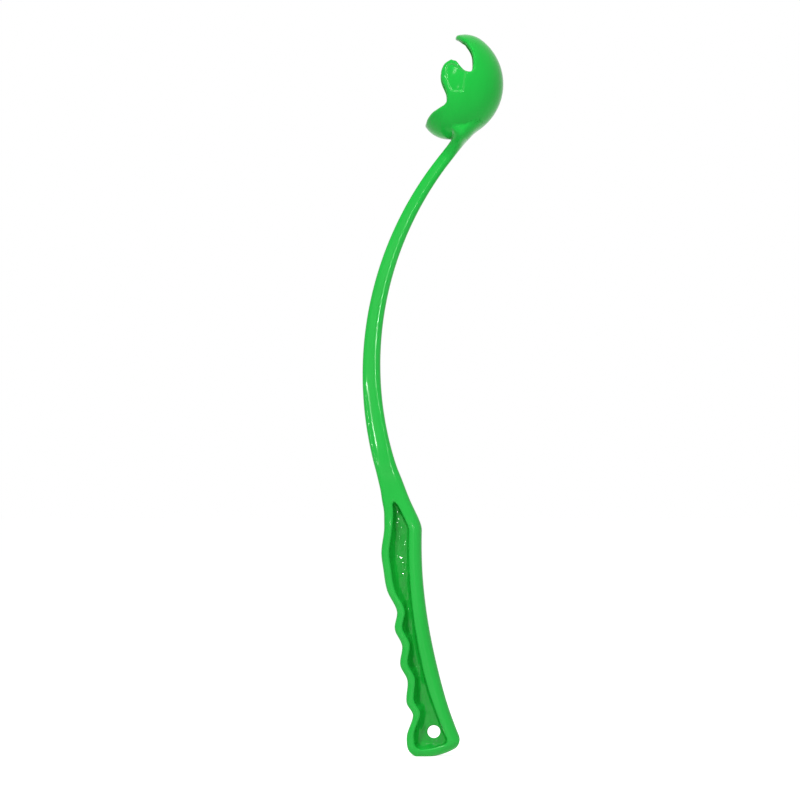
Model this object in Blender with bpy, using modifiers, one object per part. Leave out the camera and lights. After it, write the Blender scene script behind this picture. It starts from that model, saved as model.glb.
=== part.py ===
"""Dog ball thrower: one tough plastic moulding that scoops up and slings a tennis ball.

The ball cup is a turned shell whose mouth curls in round the ball, cut back between a
tongue, two side fingers and a lip. A saddle joins it to a long springy arm, which bends
forwards and ends in a hand grip with finger grooves, hollowed from both sides down to a
web with a hang hole.

Lengths are metres. X runs from the finger side of the grip to the palm side, Z runs up,
and the moulding is symmetric about Y = 0. The origin is the middle of the hand's grip.
"""

import math

import bmesh
import bpy
from mathutils import Matrix, Vector

# Ball cup
CUP_OUTER_RADIUS = 0.03775
CUP_WALL = 0.003
MOUTH_TILT = math.radians(18)
CURL_RADIUS = 0.0190
CURL_START = math.radians(110)
CURL_SWEEP = math.radians(70)
RELIEF_DEPTH = 0.0011

# Saddle that carries the cup
NECK_REACH = 0.0400
NECK_SINK = 0.0085
CUP_AHEAD = 0.0450
SADDLE_HALF_DEPTH = 0.0236
SADDLE_BACK = 0.0070
SADDLE_HORN = 0.0098

# Springy arm
ARM_BEND_RADIUS = 0.231
ARM_TOP_LEAN = math.radians(37.5)
ARM_FOOT_LEAN = math.radians(-17)
ARM_TOP_WIDTH = 0.0084
ARM_FOOT_WIDTH = 0.0146
ARM_TOP_HALF_DEPTH = 0.0070
ARM_FOOT_HALF_DEPTH = 0.0090
ARM_FRONT_ROUND = 0.0022
ARM_BACK_ROUND = 0.0036
FLUTE_DEPTH = 0.0007

# Hand grip, along the arc of its palm side from the shoulder down
PALM_BEND_RADIUS = 0.364
SHOULDER_LEAN = math.radians(-1.6)
GRIP_LENGTH = 0.1496
GRIP_HALF_DEPTH = 0.0125
HEAD_HEIGHT = 0.0380
GRIP_CENTRE_DOWN = 0.0906
GRIP_CENTRE_FRONT = 0.0117
FIRST_BUMP_FRONT = 0.0275
GROOVE_DEPTH = 0.0030
GROOVE_GAIN = 0.0007
GROOVES = 3
BUMP_FRONT_TOP = 0.0226
BUMP_FRONT_GAIN = 0.0014
HEEL_FRONT = 0.0344
PALM_SWELL = 0.0011
BUTT_SKEW = 0.0050
BUTT_BOW = 0.0030
FRONT_ROUND = 0.0028
PALM_ROUND = 0.0060
BUTT_ROUND = 0.0065
HEEL_ROUND = 0.0060

# Recess, web and hang hole
FRONT_WALL = 0.0058
TIP_WALL = 0.0074
PALM_WALL = 0.0092
BUTT_WALL = 0.0060
RECESS_TOP = 0.0182
RECESS_CORNER = 0.0030
PALM_TAPER_SHARE = 0.65
WEB_THICKNESS = 0.0040
HOLE_RADIUS = 0.0043
HOLE_UP = 0.0147
HOLE_FROM_PALM = 0.0137

# Clearance between neighbouring regions, and the overrun of cutters
SEAM = 0.0003
OVERRUN = 0.0050

# Mouth edge, as degrees round the mouth from the top and degrees away from its axis
MOUTH_EDGE_DEGREES = (
    (0, 81.6), (9, 82.6), (18, 86.2), (27, 91), (36, 96.5), (46, 97), (56, 92.5), (61.5, 85.5),
    (67.5, 78.8), (74, 77), (80.7, 77.4), (89.7, 81.8), (99.8, 91), (105, 93.5), (111, 94.8),
    (116.5, 93.3), (122.7, 89.3), (134.9, 83.2), (150, 79.8), (165, 79.2),
)
# Deep notch between the tongue and a finger, in the same degrees
NOTCH_DEGREES = (
    (27.5, 90.5), (36.5, 98.6), (45.5, 104.9), (54, 108.3), (62, 110.4), (68, 110.6),
    (71, 107.5), (71.3, 102), (67.5, 96), (63.3, 91), (62.4, 86.5), (56, 82), (42, 82),
)
NOTCH_CENTRE_DEGREES = (56, 96)
# Relief panel on a finger, across and up from the cup's centre in outer radii
PANEL_SHARES = (
    (-0.06, 0.20), (-0.04, 0.30), (0.03, 0.355), (0.12, 0.34), (0.22, 0.265), (0.325, 0.185),
    (0.305, 0.02), (0.28, -0.165), (0.17, -0.175), (0.055, -0.165), (-0.02, -0.03),
    (-0.045, 0.08),
)

# Finger bumps down the grip, in shares of its length
FIRST_BUMP_SHARE = 0.098
FIRST_SLOPE_SHARES = ((0.17, 0.963), (0.262, 0.9))
GROOVE_START_SHARE = 0.353
GROOVE_PITCH_SHARE = 0.151
BUMP_LAG_SHARE = 0.025
HEEL_SHARES = ((0.877, 0.925), (0.93, 1.0))
# Palm side of the grip, as shares of its length and of the swell beyond its arc
PALM_SWELL_SHARES = ((0.20, 0.1), (0.38, 0.5), (0.62, 1.0), (0.82, 1.0), (0.95, 1.35), (1.0, 1.4))

# Head of the grip: place up to the arm, then distances in front of the palm arc, all in
# shares of the head's height
HEAD_FRONT_SHARES = (
    (-0.93, 0.897), (-0.65, 0.789), (-0.47, 0.741), (-0.30, 0.696), (-0.12, 0.681), (0.04, 0.679),
)
HEAD_BACK_SHARES = (
    (-1.075, 0.549), (-0.85, 0.417), (-0.52, 0.242), (-0.35, 0.145), (-0.16, 0.044),
    (-0.03, 0.003),
)

CORNER_STEPS = 4


def clear_scene():
    """Remove what the scene holds, so that the script can be run again."""
    for old in list(bpy.data.objects):
        bpy.data.objects.remove(old, do_unlink=True)


def collection(name):
    """Make a collection and link it to the scene."""
    made = bpy.data.collections.new(name)
    bpy.context.scene.collection.children.link(made)
    return made


def plastic(name, colour, roughness):
    """Make the glossy plastic of one region."""
    made = bpy.data.materials.new(name)
    made.use_nodes = True
    shader = made.node_tree.nodes["Principled BSDF"]
    shader.inputs["Base Color"].default_value = (*colour, 1.0)
    shader.inputs["Roughness"].default_value = roughness
    shader.inputs["Metallic"].default_value = 0.0
    made.diffuse_color = (*colour, 1.0)
    return made


def solid(name, mesh, group, material=None):
    """Put a mesh in a named object."""
    made = bpy.data.objects.new(name, mesh)
    group.objects.link(made)
    if material:
        mesh.materials.append(material)
    return made


def shade(made):
    """Shade round faces smooth and keep the corners crisp."""
    made.data.shade_smooth()
    made.data.set_sharp_from_angle(angle=math.radians(35))


def as_cutter(made):
    """Mark an object as a cutter, which isn't part of the thrower."""
    made.hide_render = True
    made.display_type = "WIRE"
    return made


def cut(made, cutter, operation="DIFFERENCE"):
    """Add a boolean to an object."""
    step = made.modifiers.new(operation.lower() + "_" + cutter.name, "BOOLEAN")
    step.operation = operation
    step.solver = "EXACT"
    step.object = cutter
    return step


def mix(low, high, share):
    """Value that lies a share of the way from low to high."""
    return low + (high - low) * share


def ease(share):
    """Slow start and slow end between 0 and 1."""
    share = min(max(share, 0.0), 1.0)
    return share * share * (3 - 2 * share)


def smooth_value(table, place):
    """Read a smooth curve through a table of places and values."""
    last = len(table) - 1
    if place <= table[0][0]:
        return table[0][1]
    if place >= table[last][0]:
        return table[last][1]
    index = max(i for i in range(last) if table[i][0] <= place)
    low, high = table[index], table[index + 1]
    span = high[0] - low[0]
    before = table[max(index - 1, 0)]
    after = table[min(index + 2, last)]
    slope_low = (high[1] - before[1]) / (high[0] - before[0])
    slope_high = (after[1] - low[1]) / (after[0] - low[0])
    share = (place - low[0]) / span
    rise = ease(share)
    bend_low = span * slope_low * share * (1 - share) ** 2
    bend_high = span * slope_high * share * share * (1 - share)
    return mix(low[1], high[1], rise) + bend_low - bend_high


def smooth_loop(points, steps):
    """Run a closed smooth curve through points in a plane."""
    count = len(points)
    curve = []
    for index in range(count):
        before, start, end, after = (Vector(points[(index + k) % count]) for k in (-1, 0, 1, 2))
        for step in range(steps):
            share = step / steps
            leave = (end - before) / 2
            arrive = (after - start) / 2
            bend = leave * share * (1 - share) ** 2 - arrive * share * share * (1 - share)
            curve.append(start.lerp(end, ease(share)) + bend)
    return curve


def ring_of(front, back, half_depth, front_round, back_round, back_sweep, flute=0.0):
    """Ring of points round a section with a crisp front and a fuller, rounder back.

    front and back are the section's two ends in the plane Y = 0. back_round is measured
    along the section and back_sweep across it.
    """
    along = back - front
    width = along.length
    along = along.normalized()
    across = Vector((0, 1, 0))
    corners = (
        (front_round, half_depth - front_round, front_round, front_round, 180),
        (width - back_round, half_depth - back_sweep, back_round, back_sweep, 90),
        (width - back_round, back_sweep - half_depth, back_round, back_sweep, 0),
        (front_round, front_round - half_depth, front_round, front_round, 270),
    )
    ring = []
    for number, (reach, side, round_along, round_across, start) in enumerate(corners):
        for step in range(CORNER_STEPS + 1):
            turn = math.radians(start - 90 * step / CORNER_STEPS)
            place = reach + round_along * math.cos(turn)
            ring.append(front + along * place + across * (side + round_across * math.sin(turn)))
        if number in (0, 2):
            sign = 1 if number == 0 else -1
            for share in (0.25, 0.5, 0.75):
                if number == 2:
                    share = 1 - share
                place = mix(front_round, width - back_round, share)
                dip = flute * (1.0 if share == 0.5 else 0.8)
                ring.append(front + along * place + across * sign * (half_depth - dip))
    return ring


def loft(name, rings, group, material=None):
    """Skin a row of rings and close both ends."""
    mesh = bmesh.new()
    rows = [[mesh.verts.new(point) for point in ring] for ring in rings]
    size = len(rows[0])
    for low, high in zip(rows, rows[1:]):
        for index in range(size):
            after = (index + 1) % size
            mesh.faces.new((low[index], low[after], high[after], high[index]))
    mesh.faces.new(list(reversed(rows[0])))
    mesh.faces.new(rows[-1])
    bmesh.ops.recalc_face_normals(mesh, faces=mesh.faces[:])
    data = bpy.data.meshes.new(name)
    mesh.to_mesh(data)
    mesh.free()
    return solid(name, data, group, material)


def slab(name, outline, half_depth, group, material=None):
    """Extrude a closed outline of the plane Y = 0 both ways."""
    curve = bpy.data.curves.new(name, "CURVE")
    curve.dimensions = "2D"
    curve.fill_mode = "BOTH"
    curve.extrude = half_depth
    line = curve.splines.new("POLY")
    line.points.add(len(outline) - 1)
    for point, place in zip(line.points, outline):
        point.co = (place.x, place.z, 0.0, 1.0)
    line.use_cyclic_u = True
    guide = bpy.data.objects.new(name + "_outline", curve)
    group.objects.link(guide)
    guide.rotation_euler = (math.pi / 2, 0, 0)
    bpy.context.view_layer.update()
    evaluated = guide.evaluated_get(bpy.context.evaluated_depsgraph_get())
    data = bpy.data.meshes.new_from_object(evaluated)
    welded = bmesh.new()
    welded.from_mesh(data)
    bmesh.ops.remove_doubles(welded, verts=welded.verts[:], dist=SEAM / 30)
    bmesh.ops.recalc_face_normals(welded, faces=welded.faces[:])
    welded.to_mesh(data)
    welded.free()
    data.name = name
    made = solid(name, data, group, material)
    made.matrix_world = guide.matrix_world.copy()
    bpy.data.objects.remove(guide, do_unlink=True)
    return made


# Places on the grip, the arm and the neck


def grip_centre():
    """Centre of the arc that the palm side follows."""
    lean = SHOULDER_LEAN + GRIP_CENTRE_DOWN / PALM_BEND_RADIUS
    reach = PALM_BEND_RADIUS + GRIP_CENTRE_FRONT
    return reach * Vector((math.cos(lean), 0, math.sin(lean)))


def grip_place(down, front):
    """Point of the plane Y = 0, by its place along the palm arc and in front of it."""
    lean = SHOULDER_LEAN + down / PALM_BEND_RADIUS
    radius = PALM_BEND_RADIUS + front
    return grip_centre() - radius * Vector((math.cos(lean), 0, math.sin(lean)))


def grip_coordinates(point):
    """Place of a point along the palm arc and in front of it."""
    back = grip_centre() - point
    lean = math.atan2(back.z, back.x)
    return (lean - SHOULDER_LEAN) * PALM_BEND_RADIUS, math.hypot(back.x, back.z) - PALM_BEND_RADIUS


def grip_front_table():
    """Front edge of the grip: head, first bump, and the row of finger grooves."""
    table = [(HEAD_HEIGHT * down, HEAD_HEIGHT * front) for down, front in HEAD_FRONT_SHARES]
    table.append((GRIP_LENGTH * FIRST_BUMP_SHARE, FIRST_BUMP_FRONT))
    for down, front in FIRST_SLOPE_SHARES:
        table.append((GRIP_LENGTH * down, FIRST_BUMP_FRONT * front))
    for groove in range(GROOVES + 1):
        valley = GRIP_LENGTH * (GROOVE_START_SHARE + groove * GROOVE_PITCH_SHARE)
        lag = 0.5 + groove * groove * BUMP_LAG_SHARE
        bump = valley + GRIP_LENGTH * GROOVE_PITCH_SHARE * lag
        front = BUMP_FRONT_TOP + groove * groove * BUMP_FRONT_GAIN / 2
        table.append((valley, front - GROOVE_DEPTH - groove * GROOVE_GAIN))
        if groove < GROOVES:
            table.append((bump, front))
    for down, front in HEEL_SHARES:
        table.append((GRIP_LENGTH * down, HEEL_FRONT * front))
    table.append((GRIP_LENGTH, HEEL_FRONT))
    return table


def grip_back_table():
    """Palm edge of the grip: the line down from the arm, the shoulder, then the arc."""
    table = [(HEAD_HEIGHT * down, HEAD_HEIGHT * front) for down, front in HEAD_BACK_SHARES]
    table.append((HEAD_HEIGHT * 0.08, 0.0))
    for down, swell in PALM_SWELL_SHARES:
        table.append((GRIP_LENGTH * down, -PALM_SWELL * swell))
    return table


def butt_end(front):
    """Where the skewed, bowed butt ends along the arc, at a distance in front of it."""
    share = min(max(front / HEEL_FRONT, 0.0), 1.0)
    return GRIP_LENGTH - BUTT_SKEW * share + BUTT_BOW * 4 * share * (1 - share)


def bowed(point, down, share):
    """Move a point of the grip on by a share of the bow that the butt has there."""
    _, front = grip_coordinates(point)
    straight = mix(butt_end(0.0), butt_end(HEEL_FRONT), min(max(front / HEEL_FRONT, 0.0), 1.0))
    moved = grip_place(down + share * (butt_end(front) - straight), front)
    return point + moved - grip_place(down, front)


def corner_inset(left, radius):
    """How far a round corner draws an edge in, at a distance left to its end."""
    past = radius - left
    if past <= 0:
        return 0.0
    return radius - math.sqrt(max(radius * radius - past * past, 0.0))


def arm_frame(lean):
    """Middle of the arm, its forward normal and its direction, at a lean."""
    foot_front = grip_place(*grip_front_table()[0])
    foot_back = grip_place(*grip_back_table()[0])
    foot = (foot_front + foot_back) / 2

    def outward(angle):
        return Vector((-math.cos(angle), 0, math.sin(angle)))

    middle = foot + ARM_BEND_RADIUS * (outward(lean) - outward(ARM_FOOT_LEAN))
    return middle, outward(lean), Vector((math.sin(lean), 0, math.cos(lean)))


def cup_centre():
    """Centre of the cup's sphere, ahead of the arm's top and in front of its line."""
    top, forward, direction = arm_frame(ARM_TOP_LEAN)
    return top + direction * CUP_AHEAD + forward * (CUP_OUTER_RADIUS - NECK_SINK)


def build_arm(group, material):
    """Long arm on one arc, tapering from the grip to the cup, with a shallow flute."""
    steps = 44
    rings = []
    foot_front = grip_place(*grip_front_table()[0])
    foot_back = grip_place(*grip_back_table()[0])
    for step in range(steps + 1):
        share = step / steps
        middle, forward, _ = arm_frame(mix(ARM_FOOT_LEAN, ARM_TOP_LEAN, share))
        width = mix(ARM_FOOT_WIDTH, ARM_TOP_WIDTH, share ** 0.8)
        front = middle + forward * width / 2
        back = middle - forward * width / 2
        if step == 0:
            front, back = foot_front, foot_back
        half_depth = mix(ARM_FOOT_HALF_DEPTH, ARM_TOP_HALF_DEPTH, ease(share * 1.6))
        flute = FLUTE_DEPTH * ease((0.32 - share) / 0.2) * ease(share / 0.08)
        rounds = (ARM_FRONT_ROUND, ARM_BACK_ROUND, ARM_BACK_ROUND)
        rings.append(ring_of(front, back, half_depth, *rounds, flute))
    made = loft("throwing_arm", rings, group, material)
    shade(made)
    return made


def build_neck(group, cutters, material):
    """Saddle that flares from the arm into a wide seat under the cup."""
    top, forward, direction = arm_frame(ARM_TOP_LEAN)
    half_width = ARM_TOP_WIDTH / 2
    front_table = (
        (0.0, half_width), (0.40 * NECK_REACH, half_width), (0.49 * NECK_REACH, 1.30 * half_width),
        (0.57 * NECK_REACH, SADDLE_HORN), (NECK_REACH, SADDLE_HORN),
    )
    back_table = (
        (0.0, half_width), (0.45 * NECK_REACH, 1.06 * half_width),
        (0.78 * NECK_REACH, 0.80 * SADDLE_BACK), (NECK_REACH, SADDLE_BACK),
    )
    depth_table = (
        (0.0, ARM_TOP_HALF_DEPTH), (0.20 * NECK_REACH, 1.12 * ARM_TOP_HALF_DEPTH),
        (0.40 * NECK_REACH, 0.62 * SADDLE_HALF_DEPTH), (0.57 * NECK_REACH, SADDLE_HALF_DEPTH),
        (0.80 * NECK_REACH, 0.97 * SADDLE_HALF_DEPTH), (NECK_REACH, 0.90 * SADDLE_HALF_DEPTH),
    )
    steps = 16
    rings = []
    for step in range(steps + 1):
        ahead = NECK_REACH * step / steps
        middle = top + direction * ahead
        front = middle + forward * smooth_value(front_table, ahead)
        back = middle - forward * smooth_value(back_table, ahead)
        half_depth = smooth_value(depth_table, ahead)
        swell = ease(ahead / (0.7 * NECK_REACH))
        back_round = mix(ARM_BACK_ROUND, 0.75 * (back - front).length, swell)
        back_sweep = mix(ARM_BACK_ROUND, 0.70 * half_depth, swell)
        rings.append(ring_of(front, back, half_depth, ARM_FRONT_ROUND, back_round, back_sweep))
    made = loft("cup_saddle", rings, group, material)
    seat = turned_cup("saddle_seat_cutter", -SEAM, cutters, filled=True)
    cut(made, as_cutter(seat))
    shade(made)
    return made


# Ball cup


def cup_arc(inset, away):
    """Radius of the cup's profile at an angle from the mouth axis, inset from outside."""
    if away >= CURL_START:
        return CUP_OUTER_RADIUS - inset
    shift = CUP_OUTER_RADIUS - CURL_RADIUS
    lean = CURL_START - away
    side = shift * math.sin(lean)
    return shift * math.cos(lean) + math.sqrt((CURL_RADIUS - inset) ** 2 - side * side)


def turned_cup(name, inset, group, material=None, filled=False):
    """Turn the cup's profile about the mouth axis, as a shell or as a filled cutter."""
    rim = CURL_START - CURL_SWEEP / 2
    steps = 22
    outer = [mix(math.pi, rim, step / steps) for step in range(steps + 1)]
    profile = [(cup_arc(inset, away), away) for away in outer]
    if not filled:
        profile += [(cup_arc(CUP_WALL, away), away) for away in reversed(outer)]
    places = [radius * Vector((math.sin(away), 0, math.cos(away))) for radius, away in profile]
    if filled:
        places.append(Vector((0, 0, places[-1].z)))
    places.reverse()
    data = bpy.data.meshes.new(name)
    edges = [(index, index + 1) for index in range(len(places) - 1)]
    for place in (places[0], places[-1]):
        place.x = 0.0
    data.from_pydata(places, edges, [])
    made = solid(name, data, group, material)
    made.location = cup_centre()
    made.rotation_euler = (0, MOUTH_TILT - math.pi / 2, 0)
    turn = made.modifiers.new("turn", "SCREW")
    turn.axis = "Z"
    turn.steps = 64
    turn.render_steps = 64
    turn.use_merge_vertices = True
    turn.merge_threshold = SEAM / 30
    turn.use_normal_calculate = True
    return made


def mouth_direction(around, away):
    """Direction from the cup's centre, in the frame of the mouth, from two angles."""
    around, away = math.radians(around), math.radians(away)
    side = math.sin(away)
    return Vector((side * math.cos(around), side * math.sin(around), math.cos(away)))


def radial_cutter(name, outline, centre, group):
    """Cutter whose walls run out from the cup's centre, so that edges stay square."""
    mesh = bmesh.new()
    low, high = (CUP_OUTER_RADIUS * share for share in (0.45, 1.6))
    rows = []
    for radius in (low, high):
        rows.append([mesh.verts.new(mouth_direction(*place) * radius) for place in outline])
    count = len(outline)
    hubs = [mesh.verts.new(mouth_direction(*centre) * radius) for radius in (low, high)]
    for index in range(count):
        after = (index + 1) % count
        mesh.faces.new((rows[0][index], rows[0][after], rows[1][after], rows[1][index]))
        mesh.faces.new((rows[0][after], rows[0][index], hubs[0]))
        mesh.faces.new((rows[1][index], rows[1][after], hubs[1]))
    bmesh.ops.recalc_face_normals(mesh, faces=mesh.faces[:])
    data = bpy.data.meshes.new(name)
    mesh.to_mesh(data)
    mesh.free()
    made = solid(name, data, group)
    made.location = cup_centre()
    made.rotation_euler = (0, MOUTH_TILT - math.pi / 2, 0)
    return as_cutter(made)


def build_cup(group, cutters, material):
    """Turned shell with its mouth cut into a tongue, two fingers and a lip."""
    made = turned_cup("ball_cup", 0.0, group, material)
    half = [Vector(place) for place in MOUTH_EDGE_DEGREES]
    whole = half + [Vector((360 - place.x, place.y)) for place in reversed(half[1:])]
    edge = [(place[1], place[0]) for place in whole]
    table = [(around - 360, away) for away, around in edge[-2:]]
    table += [(around, away) for away, around in edge]
    table += [(around + 360, away) for away, around in edge[:2]]
    crown = [(around, smooth_value(table, around)) for around in range(0, 360, 4)]
    cut(made, radial_cutter("mouth_cutter", crown, (0, 0), cutters))
    pocket = smooth_loop(NOTCH_DEGREES, 3)
    for side, name in ((1, "far"), (-1, "near")):
        outline = [(side * place.x, place.y) for place in pocket]
        centre = (side * NOTCH_CENTRE_DEGREES[0], NOTCH_CENTRE_DEGREES[1])
        cut(made, radial_cutter("notch_cutter_" + name, outline, centre, cutters))
    panel = [
        cup_centre() + CUP_OUTER_RADIUS * Vector((place.x, 0, place.y))
        for place in smooth_loop(PANEL_SHARES, 3)
    ]
    relief = slab("panel_cutter", panel, CUP_OUTER_RADIUS + OVERRUN, cutters)
    core = as_cutter(turned_cup("panel_core_cutter", RELIEF_DEPTH, cutters, filled=True))
    cut(relief, core)
    cut(made, as_cutter(relief))
    shade(made)
    return made


# Hand grip


def build_grip(group, cutters, material):
    """Rim of the hand grip, with the finger grooves and both recesses cut through."""
    front_table, back_table = grip_front_table(), grip_back_table()
    stations = []
    head_steps = 14
    for step in range(head_steps):
        share = step / head_steps
        stations.append((mix(front_table[0][0], 0.0, share), mix(back_table[0][0], 0.0, share)))
    front_end, back_end = butt_end(HEEL_FRONT), butt_end(0.0)
    corner = max(HEEL_ROUND, BUTT_ROUND)
    body_steps = 50
    for step in range(body_steps):
        share = step / body_steps
        stations.append(((front_end - corner) * share, (back_end - corner) * share))
    end_steps = 9
    for step in range(end_steps + 1):
        left = corner * (1 - math.sin(math.radians(84) * step / end_steps))
        stations.append((front_end - left, back_end - left))
    rings = []
    for front_down, back_down in stations:
        left = front_end - front_down
        heel = smooth_value(front_table, front_down) - corner_inset(left, HEEL_ROUND)
        palm = smooth_value(back_table, back_down) + corner_inset(left, BUTT_ROUND)
        front, back = grip_place(front_down, heel), grip_place(back_down, palm)
        head = ease(1 + front_down / HEAD_HEIGHT)
        half_depth = mix(ARM_FOOT_HALF_DEPTH, GRIP_HALF_DEPTH, head)
        half_depth -= corner_inset(left, BUTT_ROUND)
        front_round = mix(ARM_FRONT_ROUND, FRONT_ROUND, head)
        back_round = mix(ARM_BACK_ROUND, PALM_ROUND, head)
        ring = ring_of(front, back, half_depth, front_round, back_round, back_round)
        share = ease(1 - left / (3 * corner))
        rings.append([bowed(point, back_down, share) for point in ring])
    made = loft("grip_rim", rings, group, material)
    recess = slab("recess_cutter", recess_outline(0.0), GRIP_HALF_DEPTH + OVERRUN, cutters)
    cut(made, as_cutter(recess))
    shade(made)
    return made


def recess_outline(inset):
    """Outline of the recess, inset all round: along the grooves, then up the palm wall."""
    front_table = grip_front_table()
    corner = RECESS_CORNER
    top = inset - RECESS_TOP
    tip_front = smooth_value(front_table, top) - TIP_WALL - corner / 2

    def climb(down):
        return max(-down, 0.0) / RECESS_TOP

    def front_wall(down):
        wall = mix(FRONT_WALL, TIP_WALL, climb(down))
        return smooth_value(front_table, down) - wall - inset

    def palm_wall(down):
        taper = ease((down / GRIP_LENGTH - PALM_TAPER_SHARE) / (1 - PALM_TAPER_SHARE))
        wall = mix(PALM_WALL, 0.8 * PALM_WALL, taper)
        return mix(wall, tip_front, climb(down) ** 1.25) + inset

    def bottom(front):
        return butt_end(front) - BUTT_WALL - inset

    heel_corner = HEEL_FRONT - FRONT_WALL - inset - corner
    heel_down = bottom(heel_corner) - corner
    palm_corner = palm_wall(GRIP_LENGTH - BUTT_WALL) + corner
    palm_down = bottom(palm_corner) - corner
    places = []
    steps = 64
    for step in range(steps + 1):
        down = mix(top, heel_down, step / steps)
        places.append((down, front_wall(down)))
    for step in range(1, 5):
        turn = math.radians(90 * step / 4)
        places.append((heel_down + corner * math.sin(turn), heel_corner + corner * math.cos(turn)))
    for step in range(1, 8):
        front = mix(heel_corner, palm_corner, step / 8)
        places.append((bottom(front), front))
    for step in range(5):
        turn = math.radians(90 * step / 4)
        places.append((palm_down + corner * math.cos(turn), palm_corner - corner * math.sin(turn)))
    for step in range(1, 26):
        down = mix(palm_down, top + corner / 3, step / 25)
        places.append((down, palm_wall(down)))
    return [grip_place(*place) for place in places]


def build_web(group, cutters, material):
    """Web between the two recesses, with the hang hole near the butt."""
    made = slab("grip_web", recess_outline(SEAM), WEB_THICKNESS / 2, group, material)
    mesh = bmesh.new()
    bmesh.ops.create_cone(
        mesh, cap_ends=True, segments=32, radius1=HOLE_RADIUS, radius2=HOLE_RADIUS,
        depth=WEB_THICKNESS + OVERRUN, matrix=Matrix.Rotation(math.pi / 2, 4, "X"),
    )
    data = bpy.data.meshes.new("hang_hole_cutter")
    mesh.to_mesh(data)
    mesh.free()
    hole = solid("hang_hole_cutter", data, cutters)
    hole.location = grip_place(GRIP_LENGTH - HOLE_UP, HOLE_FROM_PALM)
    cut(made, as_cutter(hole))
    shade(made)
    return made


def main():
    """Build the thrower's regions."""
    clear_scene()
    thrower = collection("dog_ball_thrower")
    cutters = collection("cutters")
    build_cup(thrower, cutters, plastic("cup_green", (0.013, 0.520, 0.050), 0.22))
    build_neck(thrower, cutters, plastic("saddle_green", (0.014, 0.540, 0.055), 0.24))
    build_arm(thrower, plastic("arm_green", (0.016, 0.560, 0.060), 0.24))
    build_grip(thrower, cutters, plastic("grip_green", (0.015, 0.530, 0.056), 0.26))
    build_web(thrower, cutters, plastic("web_green", (0.010, 0.430, 0.045), 0.30))


main()
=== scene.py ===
"""Dog ball thrower: one glossy green moulding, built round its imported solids.

The moulding is described as one distance field, negative inside the plastic, so that its
edges are rounded and its inner corners filleted as a mould makes them. A net of faces is
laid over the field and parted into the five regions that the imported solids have, which
share their edges and normals, so that no seam shows.

Lengths are metres. X runs from the finger side of the grip to the palm side, Z runs up,
and the moulding is symmetric about Y = 0.
"""

import math
from itertools import product

import bpy
import numpy as np
from bpy.props import FloatProperty, FloatVectorProperty, PointerProperty
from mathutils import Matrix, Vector


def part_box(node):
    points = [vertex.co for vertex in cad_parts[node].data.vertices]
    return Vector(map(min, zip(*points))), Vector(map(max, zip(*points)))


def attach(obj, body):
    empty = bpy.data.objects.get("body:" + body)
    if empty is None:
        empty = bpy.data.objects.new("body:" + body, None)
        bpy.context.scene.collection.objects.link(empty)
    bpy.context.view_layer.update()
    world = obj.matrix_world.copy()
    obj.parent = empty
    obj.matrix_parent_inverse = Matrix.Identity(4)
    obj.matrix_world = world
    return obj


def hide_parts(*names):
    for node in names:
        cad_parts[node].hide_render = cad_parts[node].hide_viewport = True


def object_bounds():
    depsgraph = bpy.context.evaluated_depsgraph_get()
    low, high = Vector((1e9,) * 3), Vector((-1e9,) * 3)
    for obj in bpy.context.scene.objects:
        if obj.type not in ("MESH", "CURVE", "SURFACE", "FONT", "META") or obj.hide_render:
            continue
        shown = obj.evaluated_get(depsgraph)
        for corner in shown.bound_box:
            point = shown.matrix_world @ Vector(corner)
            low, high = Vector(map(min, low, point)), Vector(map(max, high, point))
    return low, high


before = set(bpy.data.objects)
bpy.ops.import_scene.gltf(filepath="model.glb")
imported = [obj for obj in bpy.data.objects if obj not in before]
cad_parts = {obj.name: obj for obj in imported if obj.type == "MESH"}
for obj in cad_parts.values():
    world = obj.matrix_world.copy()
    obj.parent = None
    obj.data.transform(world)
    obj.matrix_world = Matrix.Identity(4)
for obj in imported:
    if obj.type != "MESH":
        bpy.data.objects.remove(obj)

bl_info = {
    "name": "Dog ball thrower",
    "version": (1, 0, 0),
    "blender": (4, 5, 0),
    "location": "3D View > Sidebar > Thrower",
    "description": "Builds the dog ball thrower, its plastic, the stage and the camera",
    "category": "Object",
}

CAD_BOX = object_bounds()

# Regions of the moulding, numbered as the net of faces parts them
CUP, SADDLE, ARM, RIM, WEB = 1, 2, 3, 4, 5
NODES = {
    CUP: "ball_cup", SADDLE: "cup_saddle", ARM: "throwing_arm", RIM: "grip_rim",
    WEB: "grip_web",
}

# Ball cup
CURL_START = math.radians(110)
RELIEF_DEPTH = 0.0011
RELIEF_SLOPE = 0.0016
CUP_EDGE_ROUND = 0.0013
TIP_ROUND = 0.0008
# Points to each stretch of the notch's and the panel's outlines
OUTLINE_STEPS = 6
# Keeps the mouth's slope finite by the cup's axis
LEAST_SINE = 0.2
# Mouth edge, as degrees round the mouth from the top and degrees away from its axis
MOUTH_EDGE_DEGREES = (
    (0, 81.6), (9, 82.6), (18, 86.2), (27, 91), (36, 96.5), (46, 97), (56, 92.5), (61.5, 85.5),
    (67.5, 78.8), (74, 77), (80.7, 77.4), (89.7, 81.8), (99.8, 91), (105, 93.5), (111, 94.8),
    (116.5, 93.3), (122.7, 89.3), (134.9, 83.2), (150, 79.8), (165, 79.2),
)
# Deep notch between the tongue and a finger, in the same degrees
NOTCH_DEGREES = (
    (27.5, 90.5), (36.5, 98.6), (45.5, 104.9), (54, 108.3), (62, 110.4), (68, 110.6),
    (71, 107.5), (71.3, 102), (67.5, 96), (63.3, 91), (62.4, 86.5), (56, 82), (42, 82),
)
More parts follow.
